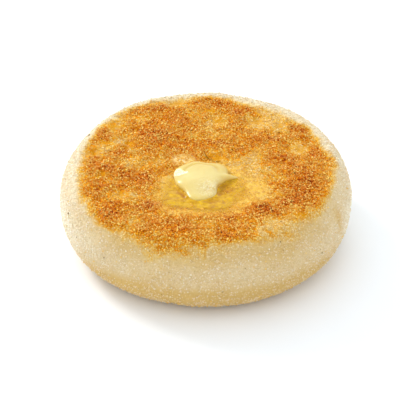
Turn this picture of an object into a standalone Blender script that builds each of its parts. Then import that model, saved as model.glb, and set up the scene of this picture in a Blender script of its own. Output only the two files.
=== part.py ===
"""English muffin with a pat of butter melting on its griddled top face.

Two pieces, each one closed solid, in metres with +Z up:
  muffin      a round bread puck: flat underside, bulging wall, soft shoulder and an uneven top with a
              shallow dish in it
  butter_pat  a knob of soft butter that lies in that dish, with a little tail where it has begun to run

The origin is on the surface that the muffin rests on, under the middle of its outline. The front of the
muffin, where the butter lies nearest the edge, faces -Y.
"""
import math

import bmesh
import bpy
import numpy as np

# Muffin: the turned shape, before it is made uneven
RADIUS = 0.048              # across the widest ring of the wall
HEIGHT = 0.0276             # underside to the middle level of the top face
SHOULDER_IN = 0.0062        # the shoulder rounds in this far
SHOULDER_DOWN = 0.0125      # over this much of the height
SHOULDER_POWER = 1.7        # 2 would be a plain ellipse; less is more sloping
HEEL_IN = 0.0140            # the same for the heel, the lower edge of the wall
HEEL_UP = 0.0134
HEEL_POWER = 2.3            # more than 2 is squarer

# Muffin: its unevenness. A wave is (how many round the muffin, height in metres, turn in radians)
OUTLINE_WAVES = ((2, 0.00012, 0.4), (3, 0.00030, 0.7), (4, 0.00036, -2.3), (7, 0.00006, 1.0))
BELLY_WAVES = ((2, 0.00024, 2.9), (3, 0.00026, -0.5), (6, 0.00007, 3.1))
BRIM_WAVES = ((2, 0.00018, 2.4), (3, 0.00020, 1.0), (5, 0.00012, 2.6), (8, 0.00008, 0.3))

# Muffin: broad rises and hollows of the top face, as (x, y, reach, height)
SWELLS = (
    (-0.016, 0.018, 0.011, 0.00055),
    (0.019, -0.027, 0.008, 0.00060),
    (-0.012, -0.034, 0.009, 0.00040),
    (0.031, -0.006, 0.009, 0.00050),
    (-0.033, -0.004, 0.008, 0.00040),
    (0.004, 0.034, 0.010, 0.00040),
    (0.031, 0.009, 0.006, -0.00045),
    (0.018, 0.023, 0.005, -0.00060),
    (-0.027, 0.012, 0.007, -0.00045),
    (-0.009, 0.038, 0.004, -0.00060),
    (-0.036, 0.006, 0.004, -0.00050),
    (0.015, 0.003, 0.008, -0.00035),
)

# Muffin: the shallow dish that the butter has softened and sunk into
DISH_CENTRE = (-0.0010, -0.0115)
DISH_REACH = (0.0160, 0.0140)
DISH_DEPTH = 0.0018

# Butter pat
PAT_CENTRE = (-0.0018, -0.0112)
PAT_REACH = (0.0088, 0.0103)    # half its width across and from front to back
PAT_RISE = 0.0033               # thickness at the crest
PAT_EDGE = 0.0004               # thickness where the rim begins to curl under
PAT_CREST = (0.0008, 0.0028)    # how far the crest lies from the centre
PAT_POWER = 2.0
PAT_FOOT = 0.94                 # share of the outline that the flat foot reaches
PAT_WAVES = ((3, 0.00015, 0.5), (5, 0.00018, 2.4), (7, 0.00012, 0.3))

# What the melting has done to the pat's outline, as (turn, spread, length, power). It grows with that power
# of the distance from the middle: a tail, a worn side, two corners that still stand out, another worn side
PAT_RUNS = (
    (math.radians(11), math.radians(5), 0.0036, 8),
    (math.radians(-22), math.radians(28), -0.0030, 2),
    (math.radians(36), math.radians(26), 0.0019, 2),
    (math.radians(146), math.radians(20), 0.0009, 2),
    (math.radians(-146), math.radians(32), -0.0021, 2),
)
TAIL_STRETCH = (1.14, 1.44)     # where the outline is stretched from this much to this much,
TAIL_FLATTENING = 0.80          # the pat loses this share of its thickness
SLUMP_FROM = -0.0125            # from here to the front, over this length, the pat has sagged
SLUMP_LENGTH = 0.0065
SLUMP_SHARE = 0.40              # by this share of its thickness
FACET_PLACE = (-0.0080, -0.0066)    # the knife left a flat flank here,
FACET_REACH = (0.0040, 0.0030)      # this wide,
FACET_LEVEL = 0.0019                # this high over the dish,
FACET_SLOPE = (0.54, 0.23)          # and rising this steeply
FACET_FOOT = 0.0002
FACET_SHARPNESS = 1.6

GAP = 0.0003                    # between the butter and the bread

# How finely the pieces are turned
MUFFIN_STEPS = 90
PAT_STEPS = 96
ARC_STEPS = 8
TOP_RINGS = 12
PAT_TOP_RINGS = 8
PAT_FOOT_RINGS = 4
MERGE = 1e-6


def clear_scene():
    """Remove every object the file opened with."""
    for thing in list(bpy.data.objects):
        bpy.data.objects.remove(thing, do_unlink=True)


def rounded_arc(width, height, power, steps):
    """Offsets (out, up) along a quarter of a superellipse, from its foot to its side."""
    turns = [math.radians(90) * step / steps for step in range(steps + 1)]
    return [
        (width * math.sin(turn) ** (2 / power), height * (1 - math.cos(turn) ** (2 / power)))
        for turn in turns
    ]


def spread(start, end, steps):
    """Evenly spaced values after start, up to and including end."""
    return [start + (end - start) * step / steps for step in range(1, steps + 1)]


def muffin_profile():
    """(radius, height) points from the middle of the underside to the middle of the top face."""
    base_radius = RADIUS - HEEL_IN
    brim_radius = RADIUS - SHOULDER_IN
    heel = [(base_radius + out, up) for out, up in rounded_arc(HEEL_IN, HEEL_UP, HEEL_POWER, ARC_STEPS)]
    shoulder = [
        (brim_radius + out, HEIGHT - down)
        for out, down in reversed(rounded_arc(SHOULDER_IN, SHOULDER_DOWN, SHOULDER_POWER, ARC_STEPS))
    ]
    underside = [(0.0, 0.0), (base_radius / 2, 0.0)]
    top = [(radius, HEIGHT) for radius in spread(brim_radius, 0.0, TOP_RINGS)]
    return underside + heel + shoulder + top


def pat_profile():
    """(share of the outline, share of the thickness) points from under the pat to its crest."""
    foot = [(0.0, 0.0)] + [(share, 0.0) for share in spread(0.0, PAT_FOOT, PAT_FOOT_RINGS)]
    edge = PAT_EDGE / PAT_RISE
    crown = [
        (math.cos(turn) ** (2 / PAT_POWER), edge + (1 - edge) * math.sin(turn) ** (2 / PAT_POWER))
        for turn in spread(0.0, math.radians(90), PAT_TOP_RINGS)
    ]
    crown[-1] = (0.0, 1.0)
    return foot + [(1.0, edge / 2)] + crown


def turned_mesh(name, profile, steps):
    """Spin a profile that starts and ends on the Z axis into one closed mesh."""
    shape = bmesh.new()
    points = [shape.verts.new((radius, 0.0, height)) for radius, height in profile]
    edges = [shape.edges.new(pair) for pair in zip(points, points[1:])]
    bmesh.ops.spin(
        shape, geom=points + edges, cent=(0, 0, 0), axis=(0, 0, 1), angle=math.tau, steps=steps,
        use_merge=True,
    )
    bmesh.ops.remove_doubles(shape, verts=shape.verts, dist=MERGE)
    bmesh.ops.recalc_face_normals(shape, faces=shape.faces)
    mesh = bpy.data.meshes.new(name)
    shape.to_mesh(mesh)
    shape.free()
    return mesh


def reshape(mesh, move):
    """Move all the points of a mesh by a function of their x, y and z arrays."""
    flat = np.empty(len(mesh.vertices) * 3)
    mesh.vertices.foreach_get("co", flat)
    x, y, z = flat.reshape(-1, 3).T
    mesh.vertices.foreach_set("co", np.column_stack(move(x, y, z)).ravel())
    mesh.update()


def waves(angle, table):
    """The sum of a table's waves at each angle round the axis."""
    return sum(size * np.cos(count * angle + turn) for count, size, turn in table)


def smooth_step(value):
    """0 below 0, 1 above 1, and an S-shaped slope between."""
    share = np.clip(value, 0.0, 1.0)
    return share * share * (3 - 2 * share)


def top_relief(x, y):
    """How far the top face stands above or below its middle level: waves at the brim, swells, the dish."""
    relief = waves(np.arctan2(y, x), BRIM_WAVES) * (np.hypot(x, y) / RADIUS) ** 4
    for middle_x, middle_y, reach, height in SWELLS:
        relief = relief + height * np.exp(-((x - middle_x) ** 2 + (y - middle_y) ** 2) / reach**2)
    across = (x - DISH_CENTRE[0]) / DISH_REACH[0]
    along = (y - DISH_CENTRE[1]) / DISH_REACH[1]
    return relief - DISH_DEPTH * np.exp(-(across**2) - along**2)


def uneven_muffin(x, y, z):
    """Swell the turned puck in and out round its wall, and up and down over its top face."""
    angle = np.arctan2(y, x)
    radius = np.hypot(x, y)
    level = np.clip(z / HEIGHT, 0.0, 1.0)
    swelling = waves(angle, OUTLINE_WAVES) + waves(angle, BELLY_WAVES) * np.cos(math.pi * level)
    stretch = 1 + swelling / RADIUS * (radius / RADIUS)
    lift = smooth_step((z - HEIGHT + SHOULDER_DOWN) / SHOULDER_DOWN)
    return x * stretch, y * stretch, z + lift * top_relief(x, y)


def cut_flank(x, y, thickness):
    """Lower the thickness towards a sloping plane round one place, where the knife cut the pat."""
    across, along = x - FACET_PLACE[0], y - FACET_PLACE[1]
    plane = FACET_LEVEL + FACET_SLOPE[0] * across + FACET_SLOPE[1] * along
    spare = np.maximum(thickness - np.maximum(plane, FACET_FOOT), 0.0)
    near = np.exp(-((across / FACET_REACH[0]) ** 2) - (along / FACET_REACH[1]) ** 2)
    return thickness - spare * np.minimum(FACET_SHARPNESS * near, 1.0)


def laid_pat(x, y, z):
    """Carry the pat's unit shape to its outline, and lay it on the dish with a gap under it."""
    share = np.hypot(x, y)
    angle = np.arctan2(y, x)
    change = waves(angle, PAT_WAVES)
    for turn, spread_out, length, power in PAT_RUNS:
        away = (angle - turn + math.pi) % math.tau - math.pi
        change = change + length * np.exp(-((away / spread_out) ** 2)) * share**power
    outline = 1 + change / PAT_REACH[0]
    lean = z * (1 - share)
    laid_x = PAT_CENTRE[0] + x * outline * PAT_REACH[0] + lean * PAT_CREST[0]
    laid_y = PAT_CENTRE[1] + y * outline * PAT_REACH[1] + lean * PAT_CREST[1]
    tail = smooth_step((outline - TAIL_STRETCH[0]) / (TAIL_STRETCH[1] - TAIL_STRETCH[0]))
    slump = smooth_step((SLUMP_FROM - laid_y) / SLUMP_LENGTH)
    thickness = z * PAT_RISE * (1 - TAIL_FLATTENING * tail) * (1 - SLUMP_SHARE * slump)
    laid_z = HEIGHT + top_relief(laid_x, laid_y) + GAP + cut_flank(laid_x, laid_y, thickness)
    return laid_x, laid_y, laid_z


def centre_on_outline(muffin, others):
    """Shift all the pieces so that the middle of the muffin's outline is over the origin."""
    points = np.array([point.co for point in muffin.data.vertices])
    middle = (points.min(axis=0) + points.max(axis=0)) / 2
    for piece in (muffin, *others):
        reshape(piece.data, lambda x, y, z: (x - middle[0], y - middle[1], z))


def plain_material(name, colour, roughness):
    """A non-metal Principled material of one linear colour."""
    material = bpy.data.materials.new(name)
    material.use_nodes = True
    shader = material.node_tree.nodes["Principled BSDF"]
    shader.inputs["Base Color"].default_value = (*colour, 1.0)
    shader.inputs["Roughness"].default_value = roughness
    shader.inputs["Metallic"].default_value = 0.0
    return material


def add_piece(name, mesh, material):
    """Put a smooth-shaded mesh in the scene under a node's name."""
    mesh.shade_smooth()
    mesh.materials.append(material)
    piece = bpy.data.objects.new(name, mesh)
    bpy.context.scene.collection.objects.link(piece)
    return piece


def build_muffin():
    """The bread: one solid, browned on its flat faces and pale round its wall."""
    mesh = turned_mesh("muffin", muffin_profile(), MUFFIN_STEPS)
    reshape(mesh, uneven_muffin)
    return add_piece("muffin", mesh, plain_material("griddled_bread", (0.56, 0.33, 0.12), 0.75))


def build_butter_pat():
    """The butter: one solid, its foot shaped to the dish under it."""
    mesh = turned_mesh("butter_pat", pat_profile(), PAT_STEPS)
    reshape(mesh, laid_pat)
    return add_piece("butter_pat", mesh, plain_material("soft_butter", (0.95, 0.78, 0.36), 0.3))


clear_scene()
muffin = build_muffin()
butter_pat = build_butter_pat()
centre_on_outline(muffin, [butter_pat])
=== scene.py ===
# %% [markdown]
# # An English muffin with a pat of melting butter
#
# The muffin is a flat round bread, baked on a griddle. Its two flat faces brown where they touch the hot
# plate, its wall stays pale, and fine semolina clings to it everywhere. This lesson makes it as a few
# pieces: the crust, the soft butter, the butter that has melted, and four kinds of crumbs and grains.
# The crust, the butter and its pool are each a formula of two numbers, worked out on a grid with numpy,
# which keeps them short and easy to change.

import itertools

import bpy
import numpy as np
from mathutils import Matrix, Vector


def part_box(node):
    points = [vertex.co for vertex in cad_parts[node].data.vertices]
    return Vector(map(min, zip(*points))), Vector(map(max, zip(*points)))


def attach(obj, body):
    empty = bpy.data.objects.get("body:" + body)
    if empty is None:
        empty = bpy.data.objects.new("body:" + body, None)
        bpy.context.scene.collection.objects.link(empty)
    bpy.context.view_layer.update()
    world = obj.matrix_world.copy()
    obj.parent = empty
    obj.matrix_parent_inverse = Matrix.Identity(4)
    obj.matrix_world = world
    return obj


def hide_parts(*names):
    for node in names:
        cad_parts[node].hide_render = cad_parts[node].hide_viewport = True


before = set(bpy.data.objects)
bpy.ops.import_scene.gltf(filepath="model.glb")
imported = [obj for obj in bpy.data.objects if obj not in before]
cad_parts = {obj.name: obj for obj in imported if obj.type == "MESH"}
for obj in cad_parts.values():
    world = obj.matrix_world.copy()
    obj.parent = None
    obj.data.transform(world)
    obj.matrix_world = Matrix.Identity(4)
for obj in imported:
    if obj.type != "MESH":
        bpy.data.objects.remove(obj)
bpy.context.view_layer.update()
MUFFIN_LOW, MUFFIN_HIGH = (np.array(corner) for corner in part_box("muffin"))
PAT_LOW, PAT_HIGH = (np.array(corner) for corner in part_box("butter_pat"))
MM = 0.001
print("muffin size, mm:", np.round((MUFFIN_HIGH - MUFFIN_LOW) / MM, 1))
print("butter size, mm:", np.round((PAT_HIGH - PAT_LOW) / MM, 1))

# %% [markdown]
# ## Small tools
#
# Bread is never smooth, so most formulas below need random bumps that are the same on every run. Blender's
# own noise lives in its shaders; for meshes a lattice of random numbers, blended between its corners, does
# the same job on a whole array at once.

# %% Steps, waves and noise
LATTICE = 96             # corners of the noise lattice along each axis, before it repeats
SEED_SHIFT = 0.37        # how far each seed moves the lattice, so that no two noises line up


def smooth_step(value):
    """0 below 0, 1 above 1, and the S-shaped 3t^2 - 2t^3 between."""
    share = np.clip(value, 0.0, 1.0)
    return share * share * (3 - 2 * share)


def mound(x, y, centre, reach):
    """A bell over a plan position: 1 at its centre, falling as exp(-(distance / reach)^2)."""
    across, along = np.broadcast_to(reach, 2)
    return np.exp(-(((x - centre[0]) / across) ** 2) - ((y - centre[1]) / along) ** 2)


def waves(angle, table):
    """The sum of cosines round the axis, one for each (count, size, turn)."""
    return sum(size * np.cos(count * angle + turn) for count, size, turn in table)


def noise(points, size, seed):
    """Smooth random heights from -1 to 1.

    Space is cut into cubes of the given size. Each cube corner has a random height, and a point blends the
    eight corners round it, with smooth_step weights along each axis.
    """
    heights = np.random.default_rng(seed).uniform(-1.0, 1.0, (LATTICE,) * 3)
    place = points / size + seed * SEED_SHIFT
    cell = np.floor(place).astype(int)
    share = smooth_step(place - cell)
    total = np.zeros(points.shape[:-1])
    for corner in itertools.product((0, 1), repeat=3):
        weight = np.prod(np.where(corner, share, 1 - share), axis=-1)
        index = (cell + corner) % LATTICE
        total += weight * heights[index[..., 0], index[..., 1], index[..., 2]]
    return total


def rough_noise(points, size, seed, layers=3):
    """Layers of noise added up, each half as wide and half as high as the one before."""
    return sum(noise(points, size / 2**layer, seed + layer) / 2**layer for layer in range(layers))


def bumps(points, table):
    """The sum of noises in metres, one for each (height, size, seed), with height and size in mm."""
    return sum(height * MM * noise(points, size * MM, seed) for height, size, seed in table)


def flat_at(x, y):
    """Points at height 0 under plan positions, for noise that doesn't change with height."""
    return np.stack([x, y, np.zeros_like(x)], axis=-1)


sample = noise(np.random.default_rng(1).uniform(0, 0.1, (1000, 3)), 0.004, 2)
print("noise spreads from", round(float(sample.min()), 2), "to", round(float(sample.max()), 2))

# %% [markdown]
# ## The form of the muffin
#
# Seen from the side, the muffin is two quarter-ovals, a heel below and a shoulder above, joined by flat
# faces. Carrying that outline round the axis gives a perfect puck; low waves then make it as uneven as a
# hand-shaped bread. The numbers repeat the solid part's, so the fine crust lies on the plain one.

# %% Sizes of the form, in metres
RADIUS = (MUFFIN_HIGH[0] - MUFFIN_LOW[0]) / 2
HEIGHT = 0.0276
SHOULDER_IN, SHOULDER_DOWN, SHOULDER_POWER = 0.0062, 0.0125, 1.7
HEEL_IN, HEEL_UP, HEEL_POWER = 0.0140, 0.0134, 2.3
OUTLINE_WAVES = ((2, 0.00012, 0.4), (3, 0.00030, 0.7), (4, 0.00036, -2.3), (7, 0.00006, 1.0))
BELLY_WAVES = ((2, 0.00024, 2.9), (3, 0.00026, -0.5), (6, 0.00007, 3.1))
BRIM_WAVES = ((2, 0.00018, 2.4), (3, 0.00020, 1.0), (5, 0.00012, 2.6), (8, 0.00008, 0.3))
SWELLS = (           # x, y, reach, height
    (-0.016, 0.018, 0.011, 0.00055),
    (0.019, -0.027, 0.008, 0.00060),
    (-0.012, -0.034, 0.009, 0.00040),
    (0.031, -0.006, 0.009, 0.00050),
    (-0.033, -0.004, 0.008, 0.00040),
    (0.004, 0.034, 0.010, 0.00040),
    (0.031, 0.009, 0.006, -0.00045),
    (0.018, 0.023, 0.005, -0.00060),
    (-0.027, 0.012, 0.007, -0.00045),
    (-0.009, 0.038, 0.004, -0.00060),
    (-0.036, 0.006, 0.004, -0.00050),
    (0.015, 0.003, 0.008, -0.00035),
)
DISH_CENTRE, DISH_REACH, DISH_DEPTH = (-0.0010, -0.0115), (0.0160, 0.0140), 0.0018
OUTLINE_STEPS = 400


def half_outline():
    """(radius, height, length so far) of many points from the top's middle to the underside's middle."""
    turn = np.radians(np.linspace(0, 90, OUTLINE_STEPS))
    out, down = np.sin(turn) ** (2 / SHOULDER_POWER), 1 - np.cos(turn) ** (2 / SHOULDER_POWER)
    shoulder = np.column_stack([RADIUS - SHOULDER_IN * (1 - out), HEIGHT - SHOULDER_DOWN * down])
    out, up = np.sin(turn) ** (2 / HEEL_POWER), 1 - np.cos(turn) ** (2 / HEEL_POWER)
    heel = np.column_stack([RADIUS - HEEL_IN * (1 - out), HEEL_UP * up])[::-1]
    line = np.vstack([[[0.0, HEIGHT]], shoulder, heel, [[0.0, 0.0]]])
    length = np.append(0.0, np.cumsum(np.hypot(*np.diff(line, axis=0).T)))
    return line[:, 0], line[:, 1], length


OUTLINE_RADIUS, OUTLINE_HEIGHT, OUTLINE_LENGTH = half_outline()
AROUND_TOP_TO_BOTTOM = OUTLINE_LENGTH[-1]
print("length from the top's middle to the underside's middle, mm:", round(AROUND_TOP_TO_BOTTOM / MM, 1))


def top_relief(x, y):
    """How far the top face stands above or below its middle level: brim waves, swells and the dish."""
    relief = waves(np.arctan2(y, x), BRIM_WAVES) * (np.hypot(x, y) / RADIUS) ** 4
    for middle_x, middle_y, reach, height in SWELLS:
        relief = relief + height * mound(x, y, (middle_x, middle_y), reach)
    return relief - DISH_DEPTH * mound(x, y, DISH_CENTRE, DISH_REACH)


def form(length, angle):
    """Points of the smooth muffin at a length along the half outline and an angle round the axis.

    The outline gives radius and height; the waves stretch the radius, and the top face's relief is added to
    the height, fading out down the shoulder.
    """
    radius = np.interp(length, OUTLINE_LENGTH, OUTLINE_RADIUS)
    z = np.interp(length, OUTLINE_LENGTH, OUTLINE_HEIGHT)
    level = np.clip(z / HEIGHT, 0.0, 1.0)
    swelling = waves(angle, OUTLINE_WAVES) + waves(angle, BELLY_WAVES) * np.cos(np.pi * level)
    x, y = radius * np.cos(angle), radius * np.sin(angle)
    stretch = 1 + swelling / RADIUS * (radius / RADIUS)
    lift = smooth_step((z - HEIGHT + SHOULDER_DOWN) / SHOULDER_DOWN)
    return np.stack([x * stretch, y * stretch, z + lift * top_relief(x, y)], axis=-1)


def form_with_normal(length, angle):
    """The form's points, and the outward direction there from the cross product of two small steps."""
    small_length, small_angle = 0.00005, 0.001
    inner = np.clip(length, small_length * 2, AROUND_TOP_TO_BOTTOM - small_length * 2)
    down = form(inner + small_length, angle) - form(inner - small_length, angle)
    round_axis = form(inner, angle + small_angle) - form(inner, angle - small_angle)
    normal = np.cross(down, round_axis)
    return form(length, angle), normal / np.linalg.norm(normal, axis=-1, keepdims=True)


# %% [markdown]
# ## Where the griddle browned it
#
# The crust is brown where it pressed on the griddle and golden where it hung a little clear. A few broad
# patches set the layout, noise breaks up their edges, and the result is one number from 0, pale, to 1,
# nearly burnt. The same number later drives the relief, the colour and the grains, so they always agree.

# %% Toasting over the two flat faces
BROWN = (            # x, y, reach across, reach along, all in mm, and strength
    (-17, 15, 6, 5, 0.20), (-10, 23, 6, 4, 0.10), (-19, 32, 6, 3, 0.18), (-6, 7, 5, 3, 0.10),
    (1, 36, 7, 3, 0.12), (14, 29, 4, 3, 0.22), (8, 11, 5, 2.5, 0.14), (21, 13, 6, 5, 0.10),
    (33, 19, 3, 5, 0.20), (35, 6, 3, 4, 0.16), (27, 3, 5, 6, 0.12), (31, -9, 6, 8, 0.15),
    (27, -20, 6, 5, 0.12), (18, -28, 6, 2.4, 0.26), (25, -23, 5, 2.4, 0.18), (8, -31, 3, 2.5, 0.12),
    (-17, -24, 4, 3, 0.22), (-14, -34, 8, 4, 0.14), (-8, -38, 4, 3, 0.12), (5, -40, 8, 3, 0.11),
    (-30, -28, 4, 4, 0.18), (-33, -5, 5, 3, 0.22), (-24, -9, 6, 4, 0.15), (-35, -17, 4, 5, 0.12),
    (-35, 17, 3, 5, 0.18), (-39, 1, 3, 3, 0.18), (-28, 5, 3, 3, 0.14), (6, -15.5, 2.5, 3, 0.34),
)
GOLDEN = (
    (-29, 12, 3.5, 7, 0.05), (-36, 6, 3, 3, 0.14), (-31, 21, 3, 4, 0.10), (-24, 0, 5, 4, 0.10),
    (-10, 37, 5, 3, 0.24), (4, 24, 5, 3, 0.14), (17, 25, 3.5, 3, 0.24), (25, 21, 5, 4, 0.16),
    (31, 8, 3.5, 3.5, 0.28), (24, 30, 6, 4, 0.10), (14, -4, 9, 6, 0.18), (-26, -19, 5, 3, 0.14),
    (-22, -33, 4, 3, 0.14), (21, -35, 6, 3, 0.18), (16, -17, 5, 6, 0.12), (-12, -28, 4, 3, 0.12),
    (-13, -13, 4, 6, 0.20),
)
TOAST_EDGE = 0.0418              # mean radius of the browned top
TOAST_EDGE_WAVES = (
    (1, 0.0031, 1.62), (2, 0.0006, 2.4), (3, 0.0007, 0.6), (4, 0.0005, 2.8), (7, 0.0004, 0.3),
)
UNDERSIDE_EDGE = 0.0385          # mean radius of the browned underside
EDGE_BUMPS = ((0.8, 7, 11), (0.8, 2.5, 12))
PAST_EDGE, EDGE_FADE, UNDERSIDE_FADE = 2.2 * MM, 5.0 * MM, 3 * MM
TOAST_MIDDLE, TOAST_LEAST = 0.42, 0.20
PATCH_STRENGTH = 2.1
FRAY_SEEDS = (101, 105)


def frayed(points):
    """The points pushed sideways by two sizes of noise, which frays the edge of any patch read there."""
    push = [bumps(points, ((1.6, 4.5, seed), (1.0, 1.8, seed + 1))) for seed in FRAY_SEEDS]
    return points[..., 0] + push[0], points[..., 1] + push[1]


def toasting(points):
    """How brown the crust is, 0 to 1, and the mask of the browned top.

    A face's mask falls from 1 to 0 across a ragged ring; inside it, toasting is a middle value plus brown
    patches, less golden ones, plus two layered noises.
    """
    x, y = frayed(points)
    z = points[..., 2]
    angle, radius = np.arctan2(points[..., 1], points[..., 0]), np.hypot(points[..., 0], points[..., 1])
    ragged = bumps(points, EDGE_BUMPS)
    inside = TOAST_EDGE + waves(angle, TOAST_EDGE_WAVES) - radius + ragged
    on_top = smooth_step((inside + PAST_EDGE) / EDGE_FADE) * (z > HEIGHT / 2)
    under = smooth_step((UNDERSIDE_EDGE - radius + 2 * ragged) / UNDERSIDE_FADE) * (z < HEIGHT / 2)
    patches = TOAST_MIDDLE + 0.16 * rough_noise(points, 5 * MM, 13, 2)
    patches = patches + 0.13 * rough_noise(points, 1.9 * MM, 17, 2)
    laid = patches
    for sign, table in ((1, BROWN), (-1, GOLDEN)):
        for middle_x, middle_y, across, along, strength in table:
            bell = mound(x, y, (middle_x * MM, middle_y * MM), (across * MM, along * MM))
            laid = laid + sign * PATCH_STRENGTH * strength * bell
    below = patches + 0.22 * noise(points, 14 * MM, 19)
    return np.clip(on_top * np.clip(laid, TOAST_LEAST, 1) + under * below, 0.0, 1.0), on_top


# %% [markdown]
# ## Where the butter has soaked in
#
# Melted butter fills the dish and creeps through the crumb beyond it. The bread turns yellow there, darker
# and shinier, and its small bumps are drowned. One formula gives the pool's ragged edge, and both the
# crust and the pool itself use it. Behind the pat on the left the butter has bubbled into a pale froth.

# %% Reach of the melted butter
POOL_CENTRE = np.array([0.0002, -0.0150])
POOL_REACH = 0.0148
POOL_WAVES = ((1, 0.0004, 1.6), (2, 0.0007, -0.5), (3, 0.0008, 1.2), (5, 0.0007, 0.2), (8, 0.0004, 2.0))
SOAK_REACH, SOAK_FADE = 1.25, 0.40                     # as shares of the pool's radius
SIDE_PLACE, SIDE_REACH, SIDE_SOAK = (0.017, -0.012), 0.008, 0.25
FROTH_PLACE, FROTH_REACH, FROTH_SOAK = (-0.0072, 0.0022), (0.0040, 0.0034), 0.75


def pool_edge(angle):
    """The pool's radius at each angle round its own centre: a mean reach plus waves."""
    return POOL_REACH + waves(angle, POOL_WAVES)


def pool_share(x, y):
    """0 at the pool's centre, 1 at its edge, more outside."""
    dx, dy = x - POOL_CENTRE[0], y - POOL_CENTRE[1]
    return np.hypot(dx, dy) / pool_edge(np.arctan2(dy, dx))


def soaking(points):
    """How much butter the crust holds, 0 to 1.

    It fades to 0 a quarter of the pool's radius beyond the pool's edge. Two mounds carry it further, one to
    the right and one behind the pat, and two noises make its edge ragged.
    """
    x, y = points[..., 0], points[..., 1]
    ragged = 0.10 * noise(points, 3 * MM, 23) + 0.08 * noise(points, 1.1 * MM, 24)
    side = SIDE_SOAK * mound(x, y, SIDE_PLACE, SIDE_REACH)
    behind = FROTH_SOAK * mound(x, y, FROTH_PLACE, FROTH_REACH)
    soak = smooth_step((SOAK_REACH + side + behind - pool_share(x, y) + ragged) / SOAK_FADE)
    return soak * (points[..., 2] > HEIGHT / 2)


# %% [markdown]
# ## The crust's relief
#
# Bumps that can be seen at the edge of a shape belong in the mesh, not only in the material. The top has
# blisters a few millimetres wide and a crumb of one to two millimetres; the wall only swells gently. Smooth
# dimples mark the spots that never touched the griddle. Butter drowns the blisters and most of the crumb.

# %% Relief along the normal
DIMPLES = (          # x, y, reach across, reach along, depth, all in mm
    (-10, 36.5, 3.4, 1.8, 0.55), (-31, 21, 2.0, 2.0, 0.40), (17, 25, 2.4, 2.0, 0.60), (4, 24, 2.6, 1.8, 0.30),
    (-36.4, 5.6, 1.4, 2.2, 0.55), (-39, 5.2, 1.2, 1.6, 0.35), (-34, 11.4, 1.8, 1.2, 0.45),
    (-33.3, -7.6, 1.3, 1.9, 0.60), (-25, 10.8, 1.6, 1.8, 0.35), (31, 8, 2.4, 2.2, 0.30),
    (3.4, 3.0, 2.6, 2.2, 0.25), (-35, -30, 2.0, 1.6, 0.30), (30, -30, 2.6, 1.6, 0.30),
    (25, 21, 1.8, 1.4, 0.35), (-27, -18, 1.6, 1.4, 0.30), (2, 30, 2.0, 1.2, 0.30),
)
CREASE_CENTRE, CREASE_RADIUS = (0.0052, 0.0062), 0.0056    # a crack that the butter has run along
CREASE_WIDTH, CREASE_DEPTH = 0.35 * MM, 0.35 * MM
CREASE_TURN, CREASE_SPREAD = np.radians(48), np.radians(40)
BROAD_BUMPS = ((0.16, 8, 31),)
FINE_BUMPS = ((0.06, 1.5, 32), (0.05, 0.8, 33))
BLISTERS = ((0.34, 3.2, 34),)
CRUMB = ((0.36, 1.8, 35), (0.26, 0.9, 36))
BROWN_RISE = 0.80 * MM           # how far full toasting would stand above none
FLAT_FOOT = 1.2 * MM             # below this height the relief dies out, so the foot stays flat


def crease(x, y):
    """1 along the crack, about a quarter of a circle, falling to 0 within a millimetre of it."""
    dx, dy = x - CREASE_CENTRE[0], y - CREASE_CENTRE[1]
    off_line = (np.hypot(dx, dy) - CREASE_RADIUS) / CREASE_WIDTH
    off_turn = (np.arctan2(-dy, -dx) - CREASE_TURN) / CREASE_SPREAD
    return np.exp(-(off_line**2) - off_turn**4)


def dimple_mounds(x, y):
    """One bell for each dimple, in the order of the table."""
    return [mound(x, y, (cx * MM, cy * MM), (rx * MM, ry * MM)) for cx, cy, rx, ry, _ in DIMPLES]


def dimple_share(x, y):
    """1 in the middle of a dimple and 0 away from all of them."""
    return np.max(dimple_mounds(x, y), axis=0)


def relief(points, toast, on_top, soak):
    """Height to add along the normal, in metres: broad swelling everywhere, blisters and crumb on top."""
    x, y = points[..., 0], points[..., 1]
    everywhere = bumps(points, BROAD_BUMPS) + bumps(points, FINE_BUMPS)
    blisters = bumps(points, BLISTERS) + BROWN_RISE * (toast - TOAST_MIDDLE)
    hollows = sum(row[-1] * MM * bell for row, bell in zip(DIMPLES, dimple_mounds(x, y)))
    hollows = hollows + CREASE_DEPTH * crease(x, y)
    dry = (1 - 0.8 * soak) * (1 - 0.7 * dimple_share(x, y))
    return everywhere + on_top * (blisters * (1 - soak) + bumps(points, CRUMB) * dry - hollows)


def crust(length, angle):
    """The form plus its relief along the normal: points, normals, toast and soak."""
    smooth, normal = form_with_normal(length, angle)
    toast, on_top = toasting(smooth)
    soak = soaking(smooth)
    height = relief(smooth, toast, on_top, soak) * smooth_step(smooth[..., 2] / FLAT_FOOT)
    return smooth + normal * height[..., None], normal, toast, soak


# %% [markdown]
# ## From a grid to a mesh
#
# A turned skin needs a grid of rings and one point at each pole. The rings are closed by letting the last
# column of faces use the first column of points again, so there is no seam to hide.

# %% Mesh helpers
def turned_faces(rings, steps):
    """Faces of a closed skin: pole, rings of points, pole. Point 0 and the last point are the poles."""
    ring, step = np.meshgrid(np.arange(rings - 1), np.arange(steps), indexing="ij")
    beside = (step + 1) % steps
    first = 1 + ring * steps
    quads = np.stack([first + step, first + steps + step, first + steps + beside, first + beside], axis=-1)
    here = np.arange(steps)
    there = (here + 1) % steps
    last = 1 + rings * steps
    start = np.stack([np.zeros(steps, int), 1 + here, 1 + there], axis=-1)
    end = np.stack([np.full(steps, last), last - steps + there, last - steps + here], axis=-1)
    return start.tolist() + quads.reshape(-1, 4).tolist() + end.tolist()


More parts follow.
